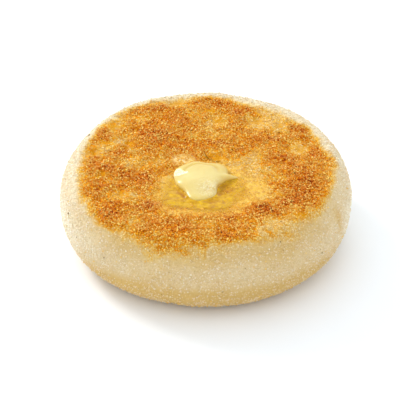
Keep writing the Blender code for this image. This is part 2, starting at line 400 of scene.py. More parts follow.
def new_piece(name, points, faces, smooth=True):
    """A mesh object from arrays of points and faces."""
    mesh = bpy.data.meshes.new(name)
    mesh.from_pydata(points.tolist(), [], faces)
    mesh.update()
    if smooth:
        mesh.shade_smooth()
    piece = bpy.data.objects.new(name, mesh)
    bpy.context.scene.collection.objects.link(piece)
    triangles = sum(len(face) - 2 for face in faces)
    print(f"{name}: {len(points)} points, {triangles} triangles")
    return piece


def store(piece, name, values):
    """Keep one number per point on the mesh, for the material to read by name."""
    attribute = piece.data.attributes.new(name, "FLOAT", "POINT")
    attribute.data.foreach_set("value", np.asarray(values, dtype=np.float32).ravel())


def skin_grid(start, rings, end, steps):
    """Two coordinates for every point of a turned skin: the place along its outline, and the turn.

    The poles come first and last; between them each ring repeats its place for every turn.
    """
    turns = np.linspace(0, 2 * np.pi, steps, endpoint=False)
    along = np.concatenate([[start], np.repeat(rings, steps), [end]])
    return along, np.concatenate([[0.0], np.tile(turns, len(rings)), [0.0]])


def spaced(start, end, spacing):
    """Evenly spaced values from start to end, no further apart than spacing, without the end."""
    count = int(np.ceil((end - start) / spacing))
    return np.linspace(start, end, count, endpoint=False)


# %% Build the crust
AROUND = 560
FIRST_RING, TOP_SPACING, WALL_SPACING, BASE_SPACING = 0.4 * MM, 0.44 * MM, 0.62 * MM, 2.4 * MM
BRIM_LENGTH = RADIUS - SHOULDER_IN
BASE_LENGTH = AROUND_TOP_TO_BOTTOM - (RADIUS - HEEL_IN)
ring_lengths = np.concatenate([
    spaced(FIRST_RING, BRIM_LENGTH, TOP_SPACING),
    spaced(BRIM_LENGTH, BASE_LENGTH, WALL_SPACING),
    spaced(BASE_LENGTH, AROUND_TOP_TO_BOTTOM, BASE_SPACING),
])
lengths, turns = skin_grid(0.0, ring_lengths, AROUND_TOP_TO_BOTTOM, AROUND)
crust_points, _, crust_toast, crust_soak = crust(lengths, turns)
crust_x, crust_y = crust_points[:, 0], crust_points[:, 1]
upper_half = crust_points[:, 2] > HEIGHT / 2
off_axis = (crust_points[:, :2].min(axis=0) + crust_points[:, :2].max(axis=0)) / 2
muffin = new_piece("muffin_crust", crust_points, turned_faces(len(ring_lengths), AROUND))
store(muffin, "toast", crust_toast)
store(muffin, "soak", crust_soak)
# the crack's mask, which the bread material paints dark as shade along it
store(muffin, "crack", crease(crust_x, crust_y) * upper_half)
store(muffin, "dimple", dimple_share(crust_x, crust_y) * upper_half)
store(muffin, "froth", smooth_step(1.3 * mound(crust_x, crust_y, FROTH_PLACE, FROTH_REACH)) * crust_soak)
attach(muffin, "root")
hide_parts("muffin")
print("middle of the crust's outline is off the axis by, mm:", np.round(off_axis / MM, 2))

# %% [markdown]
# ## Materials from small parts
#
# Short helpers keep each material readable: one turns a screen colour into the linear numbers that shaders
# use, one adds a node with its settings and links in a single call, one starts a material, and the others
# each make one node that comes back often.

# %% Material helpers
def screen(red, green, blue):
    """A colour as a screen shows it, 0 to 255 each, as linear numbers with full alpha."""
    share = np.array([red, green, blue]) / 255
    share = np.where(share <= 0.04045, share / 12.92, ((share + 0.055) / 1.055) ** 2.4)
    return (*share.tolist(), 1.0)


def add_node(tree, kind, inputs=None, **settings):
    """A new node with its settings; inputs maps a socket's name or number to a value or to an output."""
    node = tree.nodes.new(kind)
    for setting, value in settings.items():
        setattr(node, setting, value)
    for socket, value in (inputs or {}).items():
        if isinstance(value, bpy.types.NodeSocket):
            tree.links.new(value, node.inputs[socket])
        else:
            node.inputs[socket].default_value = value
    return node


def new_material(name, **values):
    """A material with a Principled shader; each value is set on the socket of that name."""
    material = bpy.data.materials.new(name)
    material.use_nodes = True
    shader = material.node_tree.nodes["Principled BSDF"]
    for socket, value in values.items():
        shader.inputs[socket.replace("_", " ")].default_value = value
    return material, material.node_tree, shader


def maths(tree, operation, first, second):
    """The output of a Math node."""
    return add_node(tree, "ShaderNodeMath", {0: first, 1: second}, operation=operation).outputs[0]


def mix_colour(tree, share, first, second, kind="MIX"):
    """The output of a colour Mix node."""
    node = add_node(tree, "ShaderNodeMix", data_type="RGBA", blend_type=kind)
    for socket, value in ((0, share), (6, first), (7, second)):
        if isinstance(value, bpy.types.NodeSocket):
            tree.links.new(value, node.inputs[socket])
        else:
            node.inputs[socket].default_value = value
    return node.outputs[2]


def colour_ramp(tree, share, stops):
    """The output of a ramp through (place, colour) stops."""
    node = add_node(tree, "ShaderNodeValToRGB", {"Fac": share})
    ramp = node.color_ramp
    ramp.elements[0].position, ramp.elements[0].color = stops[0]
    ramp.elements[1].position, ramp.elements[1].color = stops[-1]
    for place, colour in stops[1:-1]:
        ramp.elements.new(place).color = colour
    return node.outputs["Color"]


def stored(tree, name):
    """The number that the mesh keeps under a name, as a socket."""
    return add_node(tree, "ShaderNodeAttribute", attribute_name=name).outputs["Fac"]


# %% [markdown]
# ## One group for every grainy surface
#
# Crust, semolina and butter all show a fine grain, only at different sizes and strengths. A node group makes
# it once: it takes a position and the number of grains per metre. It gives back a soft speckle and a random
# number for each grain, for the colour, and a height for the bump.

# %% The fine grain group
def make_grain_group():
    """Noise for the speckle; for grains, rounded cells as the height and a random number for each cell."""
    group = bpy.data.node_groups.new("fine_grain", "ShaderNodeTree")
    for name, kind in (("Position", "NodeSocketVector"), ("Per Metre", "NodeSocketFloat")):
        group.interface.new_socket(name, in_out="INPUT", socket_type=kind)
    for name in ("Speckle", "Grain", "Height"):
        group.interface.new_socket(name, in_out="OUTPUT", socket_type="NodeSocketFloat")
    inward = group.nodes.new("NodeGroupInput")
    outward = group.nodes.new("NodeGroupOutput")
    position, per_metre = inward.outputs["Position"], inward.outputs["Per Metre"]
    cloud = add_node(group, "ShaderNodeTexNoise", {
        "Vector": position, "Scale": per_metre, "Detail": 3.0, "Roughness": 0.65,
    })
    spread = add_node(
        group, "ShaderNodeMapRange", {"Value": cloud.outputs["Fac"], "From Min": 0.3, "From Max": 0.7}
    )
    cells = add_node(group, "ShaderNodeTexVoronoi", {"Vector": position, "Scale": per_metre})
    rounded = maths(group, "SUBTRACT", 1.0, cells.outputs["Distance"])
    draw = add_node(group, "ShaderNodeSeparateColor", {"Color": cells.outputs["Color"]})
    group.links.new(spread.outputs[0], outward.inputs["Speckle"])
    group.links.new(draw.outputs["Red"], outward.inputs["Grain"])
    group.links.new(rounded, outward.inputs["Height"])
    return group


GRAIN_GROUP = make_grain_group()


def fine_grain(tree, size):
    """The group placed in a material, with grains of a size in metres: its speckle, grain and height."""
    place = add_node(tree, "ShaderNodeTexCoord").outputs["Object"]
    node = add_node(tree, "ShaderNodeGroup", node_tree=GRAIN_GROUP)
    tree.links.new(place, node.inputs["Position"])
    node.inputs["Per Metre"].default_value = 1 / size
    return [node.outputs[name] for name in ("Speckle", "Grain", "Height")]


def add_bump(tree, shader, height, distance):
    """Feed a height through a Bump node to the shader's normal."""
    bump = add_node(tree, "ShaderNodeBump", {"Height": height, "Distance": distance, "Strength": 1.0})
    tree.links.new(bump.outputs["Normal"], shader.inputs["Normal"])


# %% [markdown]
# ## The crust's finish
#
# Toasting runs through a ramp from raw dough to dark brown. The speckle pushes each spot a little up or down
# that ramp, as a real griddled crust is a mix of scorched bumps and paler gaps, and butter turns it yellow.

# %% Griddled bread
FINE_GRAIN, WIDE_GRAIN, TINY_GRAIN = 0.5 * MM, 1.3 * MM, 0.36 * MM
SPECKLE_PUSH, GRAIN_PUSH, WIDE_PUSH = 0.56, 0.60, 0.16     # how far each moves a spot along the ramp


def centred(tree, value, strength):
    """A value from 0 to 1 turned into one from -strength / 2 to strength / 2."""
    return add_node(
        tree, "ShaderNodeMapRange", {"Value": value, "To Min": -strength / 2, "To Max": strength / 2}
    ).outputs[0]


def browned_share(tree, toast, fine_speckle, fine_draw, wide_speckle):
    """Toasting pushed up or down by the speckle, and the hold: how far the push counts, none on raw dough."""
    wobble = centred(tree, fine_speckle, SPECKLE_PUSH)
    wobble = maths(tree, "ADD", wobble, centred(tree, fine_draw, GRAIN_PUSH))
    wobble = maths(tree, "ADD", wobble, centred(tree, wide_speckle, WIDE_PUSH))
    hold = maths(tree, "MINIMUM", maths(tree, "MULTIPLY", toast, 2.2), 1.0)
    return maths(tree, "ADD", toast, maths(tree, "MULTIPLY", wobble, hold)), hold


def dry_colour(tree, toast, browned, hold, grain_height):
    """On the faces the toasting ramp, with painted shade between grains and a darker gold in dimples
    that is partly painted shade; on the wall, cream.

    Cornmeal yellow, with painted shade on the front of the wall, then lies over both.
    """
    face = colour_ramp(tree, browned, (
        (0.00, screen(248, 228, 184)),
        (0.10, screen(248, 212, 128)),
        (0.22, screen(242, 182, 54)),
        (0.36, screen(242, 170, 30)),
        (0.50, screen(246, 160, 24)),
        (0.66, screen(236, 136, 20)),
        (0.82, screen(208, 102, 14)),
        (1.00, screen(138, 56, 12)),
    ))
    # painted shade: darker in the low spots between the grain cells that the bump raises
    painted_grain_shade = colour_ramp(tree, grain_height, ((0.35, screen(200, 176, 138)), (0.75, screen(255, 255, 255))))
    face = mix_colour(tree, hold, face, mix_colour(tree, 1.0, face, painted_grain_shade, kind="MULTIPLY"))
    # dimples: a deeper gold, partly the crust's own colour and partly painted shade in the hollow
    dimple_gold_and_shade = maths(tree, "MULTIPLY", stored(tree, "dimple"), 0.80)
    face = mix_colour(tree, dimple_gold_and_shade, face, screen(210, 142, 16))
    _, tiny_draw, _ = fine_grain(tree, TINY_GRAIN)
    wall_shade = mix_colour(tree, tiny_draw, screen(216, 200, 170), screen(255, 248, 226))
    on_face = add_node(tree, "ShaderNodeMapRange", {"Value": toast, "From Min": 0.0, "From Max": 0.12})
    colour = mix_colour(tree, on_face.outputs[0], wall_shade, face)
    # cornmeal yellow, with painted shade on the front of the wall
    return mix_colour(tree, stored(tree, "meal_and_front_shade"), colour, screen(212, 176, 108))


def buttered_colour(tree, colour, browned, soak, fine_draw):
    """The dry colour turned yellow where butter has soaked in, pale in the froth, with painted shade along
    the crack.
    """
    soaked = colour_ramp(tree, browned, (
        (0.10, screen(228, 184, 70)), (0.45, screen(216, 156, 30)), (0.85, screen(182, 100, 12)),
    ))
    colour = mix_colour(tree, maths(tree, "MULTIPLY", soak, 0.9), colour, soaked)
    foamy = maths(tree, "MULTIPLY", stored(tree, "froth"), fine_draw)
    colour = mix_colour(tree, foamy, colour, screen(248, 226, 166))
    # painted shade: a dark amber line along the crack
    return mix_colour(tree, maths(tree, "MULTIPLY", stored(tree, "crack"), 0.9), colour, screen(134, 90, 12))


def make_bread():
    """Colour from toast, speckle and soak; roughness and coat from soak; bump from two grain sizes."""
    material, tree, shader = new_material(
        "griddled_bread", Roughness=0.8, Specular_IOR_Level=0.05, Subsurface_Weight=0.05,
        Subsurface_Scale=0.001, Coat_Roughness=0.25,
    )
    shader.inputs["Subsurface Radius"].default_value = (1.0, 0.6, 0.3)
    toast, soak = stored(tree, "toast"), stored(tree, "soak")
    fine_speckle, fine_draw, fine_height = fine_grain(tree, FINE_GRAIN)
    wide_speckle, _, wide_height = fine_grain(tree, WIDE_GRAIN)
    browned, hold = browned_share(tree, toast, fine_speckle, fine_draw, wide_speckle)
    colour = dry_colour(tree, toast, browned, hold, fine_height)
    colour = buttered_colour(tree, colour, browned, soak, fine_draw)
    tree.links.new(colour, shader.inputs["Base Color"])
    rough = add_node(tree, "ShaderNodeMapRange", {"Value": soak, "To Min": 0.8, "To Max": 0.35})
    tree.links.new(rough.outputs[0], shader.inputs["Roughness"])
    tree.links.new(maths(tree, "MULTIPLY", soak, 0.45), shader.inputs["Coat Weight"])
    both = maths(tree, "ADD", fine_height, maths(tree, "MULTIPLY", wide_height, 1.2))
    dry = maths(tree, "MULTIPLY", both, maths(tree, "SUBTRACT", 1.0, maths(tree, "MULTIPLY", soak, 0.6)))
    add_bump(tree, shader, dry, 0.35 * MM)
    return material


STREAK_PLACE, STREAK_HEIGHT = (0.0415, -0.0215), 18 * MM
STREAK_REACH, STREAK_TALL, STREAK_STAIN = 2.2 * MM, 4.5 * MM, 0.55


def meal_stain_and_shade(points, toast):
    """Yellow from cornmeal dust on the wall, with painted shade on its front, 0 to 1: heel, shoulder, front
    of the wall and one streak.

    The front share is painted shade on the side away from the lamp. It falls from the front to the back and
    towards the sides, and it strengthens the heel. The heel and shoulder shares follow height, the streak is
    a bell, and noise makes them all patchy.
    """
    x, y, z = points[..., 0], points[..., 1], points[..., 2]
    # painted shade: the front share yellows and darkens the wall on the side away from the lamp
    front = smooth_step((0.016 - y - 0.50 * np.maximum(-x, 0) - 0.25 * np.maximum(x, 0)) / 0.050)
    heel = (0.20 + 1.10 * front) * smooth_step((15 * MM - z) / (13 * MM))
    shoulder = (0.38 - 0.18 * front) * smooth_step((z - 17 * MM) / (7 * MM))
    wall = 0.74 * front
    streak = STREAK_STAIN * mound(x, y, STREAK_PLACE, STREAK_REACH)
    streak = streak * np.exp(-(((z - STREAK_HEIGHT) / STREAK_TALL) ** 2))
    patchy = 0.95 + 0.12 * rough_noise(points, 5 * MM, 41)
    stain = np.clip((heel + shoulder + wall + streak) * np.clip(patchy, 0, 1.4), 0, 1)
    return stain * (1 - smooth_step(toast / 0.35))


muffin.data.materials.append(make_bread())
# cornmeal dust, and painted shade on the front of the wall
store(muffin, "meal_and_front_shade", meal_stain_and_shade(crust_points, crust_toast))

# %% [markdown]
# ## The butter pat
#
# Soft butter keeps the rough shape it was cut in but loses its corners, slumps, and runs out in a tail at
# one side. It is the same kind of turned skin as the muffin: a dome whose outline is bent by waves and pulled
# out or worn back at a few turns. A groove near the back edge is where the melted skirt meets the firm knob.

# %% Form of the butter
PAT_CENTRE, PAT_REACH = np.array([-0.0018, -0.0112]), np.array([0.0088, 0.0103])
PAT_RISE, PAT_EDGE, PAT_POWER, PAT_FOOT = 0.0033, 0.0004, 2.0, 0.94
PAT_CREST = np.array([0.0008, 0.0028])
PAT_WAVES = ((3, 0.00015, 0.5), (5, 0.00018, 2.4), (7, 0.00012, 0.3))
PAT_RUNS = (         # turn, spread, length, power
    (11, 5, 0.0036, 8), (-22, 28, -0.0030, 2), (36, 26, 0.0019, 2), (146, 20, 0.0009, 2),
    (-146, 32, -0.0021, 2),
)
PAT_DENTS = ((0.20, 4.5, 51), (0.05, 1.8, 52))
BUBBLES, BUBBLES_PLACE, BUBBLES_REACH = ((0.20, 0.8, 53),), (0.0010, -0.0160), 0.0034
FOLD_SHARE, FOLD_WIDTH, FOLD_DEPTH, FOLD_TURN = 0.66, 0.09, 0.45 * MM, np.radians(95)
SLUMP, SLUMP_FROM, SLUMP_OVER = 0.40, -0.0125, 0.0065               # the front has sunk
TAIL_THIN, TAIL_FROM, TAIL_OVER = 0.80, 1.14, 0.30                  # the tail is thin
UNDER_ALONG = (1.0, 1.05, 1.1, 2.0)
FACET_PLACE, FACET_REACH = (-0.0080, -0.0066), (0.0040, 0.0030)    # where the knife left a flat flank
FACET_LEVEL, FACET_SLOPE, FACET_LEAST, FACET_GRIP = 0.0019, (0.54, 0.23), 0.2 * MM, 1.6
GAP = 0.0003


def pat_outline(angle, share):
    """The outline's stretch at each angle: 1, plus waves, plus runs that grow as a power of the share."""
    change = waves(angle, PAT_WAVES)
    for turn, spread_out, length, power in PAT_RUNS:
        away = (angle - np.radians(turn) + np.pi) % (2 * np.pi) - np.pi
        change = change + length * np.exp(-((away / np.radians(spread_out)) ** 2)) * share**power
    return 1 + change / PAT_REACH[0]


def cut_flank(x, y, thick):
    """The thickness, brought down to a sloping plane where a mound marks the cut flank."""
    plane = FACET_LEVEL + FACET_SLOPE[0] * (x - FACET_PLACE[0]) + FACET_SLOPE[1] * (y - FACET_PLACE[1])
    spare = np.maximum(thick - np.maximum(plane, FACET_LEAST), 0.0)
    return thick - spare * np.minimum(FACET_GRIP * mound(x, y, FACET_PLACE, FACET_REACH), 1.0)


def pat(along, angle):
    """Points of the butter. Along runs from 0 at the crest to 1 at the rim and 2 under the middle.

    The dome is a superellipse of the share of the outline, and its foot follows the dish at a small gap. The
    thickness loses a fold near the back edge, the slump in front, the thinning of the tail and the cut flank.
    Returns the points, the level on the dome, the fold and the froth.
    """
    turn = np.pi / 2 * (1 - np.clip(along, 0, 1))
    edge = PAT_EDGE / PAT_RISE
    under_share = np.interp(along, UNDER_ALONG, (1.0, 1.0, PAT_FOOT, 0.0))
    under_level = np.interp(along, UNDER_ALONG, (edge, edge / 2, 0.0, 0.0))
    share = np.where(along <= 1, np.cos(turn) ** (2 / PAT_POWER), under_share)
    level = np.where(along <= 1, edge + (1 - edge) * np.sin(turn) ** (2 / PAT_POWER), under_level)
    outline = pat_outline(angle, share)
    lean = (level * (1 - share))[..., None] * PAT_CREST
    round_axis = np.stack([np.cos(angle), np.sin(angle)], axis=-1)
    place = PAT_CENTRE + round_axis * (share * outline)[..., None] * PAT_REACH + lean
    x, y = place[..., 0], place[..., 1]
    flat = flat_at(x, y)
    back = smooth_step(1.6 * np.cos(angle - FOLD_TURN))
    fold = np.exp(-(((share - FOLD_SHARE) / FOLD_WIDTH) ** 2)) * back
    froth = mound(x, y, BUBBLES_PLACE, BUBBLES_REACH)
    bubbles = bumps(flat, BUBBLES) * froth
    slumped = 1 - SLUMP * smooth_step((SLUMP_FROM - y) / SLUMP_OVER)
    thinned = 1 - TAIL_THIN * smooth_step((outline - TAIL_FROM) / TAIL_OVER)
    thick = level * (PAT_RISE + bumps(flat, PAT_DENTS) - FOLD_DEPTH * fold)
    thick = cut_flank(x, y, thick * slumped * thinned)
    z = HEIGHT + top_relief(x, y) + GAP + thick
    points = np.stack([x, y, z + smooth_step(level * 3) * bubbles], axis=-1)
    return points, level, fold, froth


# %% Build the butter
PAT_AROUND, PAT_RINGS = 220, 110
BACK_TINT, BACK_FROM, BACK_OVER = 0.4, -9.5 * MM, 5 * MM            # the back of the butter is yellower
pat_along, pat_turns = skin_grid(0.0, np.linspace(0, 2, PAT_RINGS + 2)[1:-1], 2.0, PAT_AROUND)
pat_points, pat_level, pat_fold, pat_froth = pat(pat_along, pat_turns)
butter = new_piece("butter_pat_soft", pat_points, turned_faces(PAT_RINGS, PAT_AROUND))
store(butter, "level", pat_level)
behind = BACK_TINT * smooth_step((pat_points[:, 1] - BACK_FROM) / BACK_OVER)
store(butter, "fold", np.maximum(pat_fold, behind) * (pat_along < 1))
store(butter, "froth", pat_froth)
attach(butter, "root")
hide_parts("butter_pat")

# %% [markdown]
# ## The butter's finish
#
# Butter lets light in a little way, which is what makes it look soft, so the shader has some subsurface
# light. The thin rim is yellower, because there is less of it to scatter the light back, and the wet
# surface is quite glossy.

# %% Soft butter
def make_soft_butter():
    """Pale where thick, yellower at the rim and in the fold, foamy in the froth; glossy, softly bumped."""
    material, tree, shader = new_material(
        "soft_butter", Roughness=0.30, Subsurface_Weight=0.35, Subsurface_Scale=0.003, Coat_Weight=0.15
    )
    shader.inputs["Subsurface Radius"].default_value = (1.0, 0.8, 0.35)
    level = stored(tree, "level")
    speckle, _, height = fine_grain(tree, 2.2 * MM)
    thick = maths(tree, "ADD", level, maths(tree, "MULTIPLY", speckle, 0.16))
    colour = colour_ramp(tree, thick, (
        (0.05, screen(208, 160, 44)),
        (0.30, screen(214, 180, 84)),
        (0.75, screen(217, 192, 112)),
        (1.00, screen(220, 198, 124)),
    ))
    folded = maths(tree, "MULTIPLY", stored(tree, "fold"), 0.8)
    colour = mix_colour(tree, folded, colour, screen(206, 168, 62))
    tiny_speckle, tiny_draw, tiny_height = fine_grain(tree, 0.45 * MM)
    foam = mix_colour(tree, tiny_draw, screen(200, 160, 84), screen(244, 236, 206))
    foamy = maths(tree, "MULTIPLY", stored(tree, "froth"), tiny_speckle)
    colour = mix_colour(tree, foamy, colour, foam)
    tree.links.new(colour, shader.inputs["Base Color"])
    uneven = maths(tree, "ADD", height, maths(tree, "MULTIPLY", stored(tree, "froth"), tiny_height))
    add_bump(tree, shader, uneven, 0.05 * MM)
    return material


butter.data.materials.append(make_soft_butter())

# %% [markdown]
# ## The melted butter
#
# A thin pool lies round the pat. It is a lens: the top follows the dish a little above the crust and climbs
# where it wets the pat, the underside stays inside the bread, and both meet at the ragged edge. Its alpha
# falls towards the edge, so the crust shows through where the film is thin.

# %% Form of the pool
FILM, CLIMB, CLIMB_REACH, POOL_DEPTH = 0.32 * MM, 0.45 * MM, 0.13, 0.6 * MM
RIPPLES = ((0.12, 2.6, 61), (0.14, 1.2, 62))
# the ring of deeper butter round the pat's front, partly painted shade
RING, RING_WIDTH, RING_FROM, RING_OVER = 1.20, 0.12, -0.010, 0.010
SPOT_PLACE, SPOT_REACH = (0.0064, -0.0152), (0.0024, 0.0034)
THIN_FROM, THIN_OVER = 4 * MM, 8 * MM


def pat_share(x, y):
    """0 under the pat's middle, 1 at its outline, more outside."""
    dx, dy = x - PAT_CENTRE[0], y - PAT_CENTRE[1]
    angle = np.arctan2(dy / PAT_REACH[1], dx / PAT_REACH[0])
    return np.hypot(dx / PAT_REACH[0], dy / PAT_REACH[1]) / pat_outline(angle, 1.0)


def pool(along, angle):
    """Points of the pool. Along runs from 0 at the middle of its top to 1 at its edge and 2 underneath.

    The film's thickness is FILM times 1 - share^4, plus a climb beside the pat, plus faint ripples.
    """
    share = np.where(along <= 1, along, 2 - along)
    radius = share * pool_edge(angle)
    x = POOL_CENTRE[0] + radius * np.cos(angle)
    y = POOL_CENTRE[1] + radius * np.sin(angle)
    inside = 1 - share**4
    climb = CLIMB * np.exp(-((np.clip(pat_share(x, y) - 1, 0, None) / CLIMB_REACH) ** 2))
    top = inside * (FILM + climb + bumps(flat_at(x, y), RIPPLES))
    offset = np.where(along <= 1, top, -inside * POOL_DEPTH)
    return np.stack([x, y, HEIGHT + top_relief(x, y) + offset], axis=-1), inside


def deep_butter_and_shade(x, y):
    """Deeper butter and painted shade round the front of the pat, 0 to 1: a ragged ring outside its outline,
    broken up.
    """
    flat = flat_at(x, y)
    off_ring = (pat_share(x, y) - RING - 0.08 * noise(flat, 2 * MM, 64)) / RING_WIDTH
    ring = np.exp(-(off_ring**2)) * smooth_step((RING_FROM - y) / RING_OVER)
    return ring * np.clip(0.5 + 1.1 * noise(flat, 3.0 * MM, 65), 0, 1)


def thin_side(x):
    """0 over most of the pool, rising to 1 at its right, where the film is thinnest."""
    return smooth_step((x - THIN_FROM) / THIN_OVER)


def bare_spots(points):
    """Where the film has drained off, 0 to 1: a spot right of the pat, and patches over the thin side."""
    x, y = points[:, 0], points[:, 1]
    patches = thin_side(x) * (0.45 + 0.5 * noise(points, 2.0 * MM, 63))
    return np.clip(mound(x, y, SPOT_PLACE, SPOT_REACH) + patches, 0, 1)


# %% Build the pool
POOL_AROUND, POOL_RINGS = 240, 120
pool_along, pool_turns = skin_grid(0.0, np.linspace(0, 2, POOL_RINGS + 2)[1:-1], 2.0, POOL_AROUND)
pool_points, pool_inside = pool(pool_along, pool_turns)
melted = new_piece("melted_butter", pool_points, turned_faces(POOL_RINGS, POOL_AROUND))
store(melted, "inside", pool_inside)
# deeper butter round the front of the pat, partly painted shade
store(melted, "beside", deep_butter_and_shade(pool_points[:, 0], pool_points[:, 1]))
store(melted, "bare", bare_spots(pool_points))
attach(melted, "root")


# %% Melted butter
def make_melted_butter():
    """Golden, deeper beside the pat with painted shade there, and broad clouds; smooth and wet, and clear at
    its edge.
    """
    material, tree, shader = new_material(
        "melted_butter", Roughness=0.14, Specular_IOR_Level=0.22, Coat_Weight=0.10, Coat_Roughness=0.06
    )
    speckle, _, _ = fine_grain(tree, 3.5 * MM)
    mottle, _, height = fine_grain(tree, 1.1 * MM)
    clouds = maths(tree, "ADD", maths(tree, "MULTIPLY", speckle, 0.45), maths(tree, "MULTIPLY", mottle, 0.55))
    light = mix_colour(tree, clouds, screen(170, 104, 0), screen(250, 202, 12))
    # deeper amber beside the pat: partly thicker butter, partly painted shade
    deep_and_shaded = mix_colour(tree, stored(tree, "beside"), light, screen(172, 104, 0))
    tree.links.new(deep_and_shaded, shader.inputs["Base Color"])
    body = maths(tree, "MULTIPLY", stored(tree, "inside"), 1.1)
    clear = maths(tree, "SUBTRACT", body, maths(tree, "MULTIPLY", stored(tree, "bare"), 0.75))
    alpha = maths(tree, "MINIMUM", maths(tree, "MAXIMUM", clear, 0.0), 0.82)
    tree.links.new(alpha, shader.inputs["Alpha"])
    add_bump(tree, shader, height, 0.16 * MM)
    return material


melted.data.materials.append(make_melted_butter())

# %% [markdown]
# ## Grains and crumbs
#
# The dough is rolled in semolina and the griddle is dusted with cornmeal, so thousands of hard little grains
# stick to the crust. Each is a six-sided nugget with its corners pushed about, turned at random and sunk
# partly in the crust. All the grains of a kind are joined in one mesh, worked out as one array.

# %% Places and nuggets
CORNERS = np.array(list(itertools.product((-0.5, 0.5), repeat=3)))
SIDES = np.array([[0, 1, 3, 2], [4, 6, 7, 5], [0, 4, 5, 1], [2, 3, 7, 6], [0, 2, 6, 4], [1, 5, 7, 3]])
TRIES_PER_GRAIN = 8


def scatter(count, density, start, end, seed):
    """Random places on the crust between two lengths along its outline.

    A try is kept in proportion to the radius there, which makes the places even over the skin, and then in
    proportion to a density from 0 to 1.
    """
    chance = np.random.default_rng(seed)
    tries = count * TRIES_PER_GRAIN
    length, angle = chance.uniform(start, end, tries), chance.uniform(0, 2 * np.pi, tries)
    wide_enough = chance.uniform(0, RADIUS, tries) < np.interp(length, OUTLINE_LENGTH, OUTLINE_RADIUS)
    points, normals, toast, soak = crust(length[wide_enough], angle[wide_enough])
    kept = np.flatnonzero(chance.uniform(0, 1, len(points)) < density(points, toast, soak))[:count]
    return points[kept], normals[kept], toast[kept], soak[kept]


def random_turns(chance, count):
    """Rotation matrices from random unit quaternions."""
    quaternion = chance.normal(size=(4, count))
    w, x, y, z = quaternion / np.linalg.norm(quaternion, axis=0)
    return np.stack([
        np.stack([1 - 2 * (y * y + z * z), 2 * (x * y - w * z), 2 * (x * z + w * y)], axis=-1),
        np.stack([2 * (x * y + w * z), 1 - 2 * (x * x + z * z), 2 * (y * z - w * x)], axis=-1),
        np.stack([2 * (x * z - w * y), 2 * (y * z + w * x), 1 - 2 * (x * x + y * y)], axis=-1),
    ], axis=-2)


def grains(name, places, sizes, shape, proud, seed):
    """One mesh of nuggets: each is a block of the given shape times its size, corners moved, turned, placed.

    Proud is how far a grain's middle stands out of the crust, as a share of its size.
    """
    points, normals, toast, soak = places
    chance = np.random.default_rng(seed)
    count = len(points)
    low, high = sizes
    size = low + (high - low) * chance.uniform(0, 1, count) ** 2
    pushed = CORNERS + chance.uniform(-0.16, 0.16, (count, 8, 3))
    blocks = pushed * np.array(shape) * size[:, None, None]
    turned = np.einsum("nij,nkj->nki", random_turns(chance, count), blocks)
    placed = turned + (points + normals * (proud * size)[:, None])[:, None, :]
    placed[..., 2] = np.maximum(placed[..., 2], 0.0)
    faces = (SIDES + 8 * np.arange(count)[:, None, None]).reshape(-1, 4)
    piece = new_piece(name, placed.reshape(-1, 3), faces.tolist(), smooth=False)
    store(piece, "toast", np.repeat(toast, 8))
    store(piece, "soak", np.repeat(soak, 8))
    store(piece, "tint", np.repeat(chance.uniform(0, 1, count) ** 2, 8))
    # cornmeal yellow and painted front shade, as on the crust
    store(piece, "meal_and_front_shade", np.repeat(meal_stain_and_shade(points, toast), 8))
    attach(piece, "root")
    return piece


# %% Semolina on the wall and on the top
SHOULDER_LENGTH = BRIM_LENGTH - 2 * MM


def wall_density(points, toast, soak):
    """Even round the wall, in faint clouds, thinner where the toasted face begins."""
    cloud = 0.62 + 0.5 * noise(points, 6 * MM, 71)
    return np.clip(cloud, 0.15, 1) * (1 - smooth_step((toast - 0.10) / 0.35))


def under_butter(points):
    """1 where melted butter covers the crust, falling to 0 round the pool, and low over its thin side."""
    x, y = points[:, 0], points[:, 1]
    return smooth_step((1.20 - pool_share(x, y)) / 0.40) * (1 - 0.7 * thin_side(x))


def top_density(points, toast, soak):
    """Even over the browned top in faint clouds, little in the dimples, and almost none under butter."""
    x, y = points[:, 0], points[:, 1]
    clear = 1 - np.minimum(1.25 * dimple_share(x, y), 1)
    clear = clear * (1 - 0.96 * under_butter(points)) * (1 - crease(x, y))
    dusted = smooth_step(toast / 0.14) * (0.75 + 0.5 * noise(points, 4 * MM, 72))
    return dusted * clear * (points[:, 2] > HEIGHT / 2)


def crumb_density(points, toast, soak):
    """The more the browner the crust is, none in the dimples or under butter."""
    return top_density(points, toast, soak) * smooth_step((toast - 0.15) / 0.6)


wall_places = scatter(16000, wall_density, SHOULDER_LENGTH, BASE_LENGTH + 4 * MM, 81)
wall_grains = grains("semolina_wall", wall_places, (0.26 * MM, 0.46 * MM), (1.0, 0.85, 0.7), 0.18, 82)
top_places = scatter(11000, top_density, 0.0, BRIM_LENGTH + 7 * MM, 83)
top_grains = grains("semolina_top", top_places, (0.28 * MM, 0.50 * MM), (1.0, 0.8, 0.65), 0.18, 84)
crumb_places = scatter(7000, crumb_density, 0.0, BRIM_LENGTH + 6 * MM, 89)
crumb_grains = grains("toasted_crumbs", crumb_places, (0.28 * MM, 0.62 * MM), (1.0, 0.8, 0.5), 0.06, 90)


# %% Cornmeal and bran
def heel_density(points, toast, soak):
    """Thick round the heel, a few grains higher up the wall."""
    z = points[:, 2]
    patchy = np.clip(0.6 + 0.9 * noise(points, 7 * MM, 73), 0.1, 1)
    return patchy * (0.95 * smooth_step((5.0 * MM - z) / (4.0 * MM)) + 0.015) * (toast < 0.3)


def anywhere(points, toast, soak):
    """A few specks all over, fewer under the butter."""
    return 0.5 * (1 - soak)


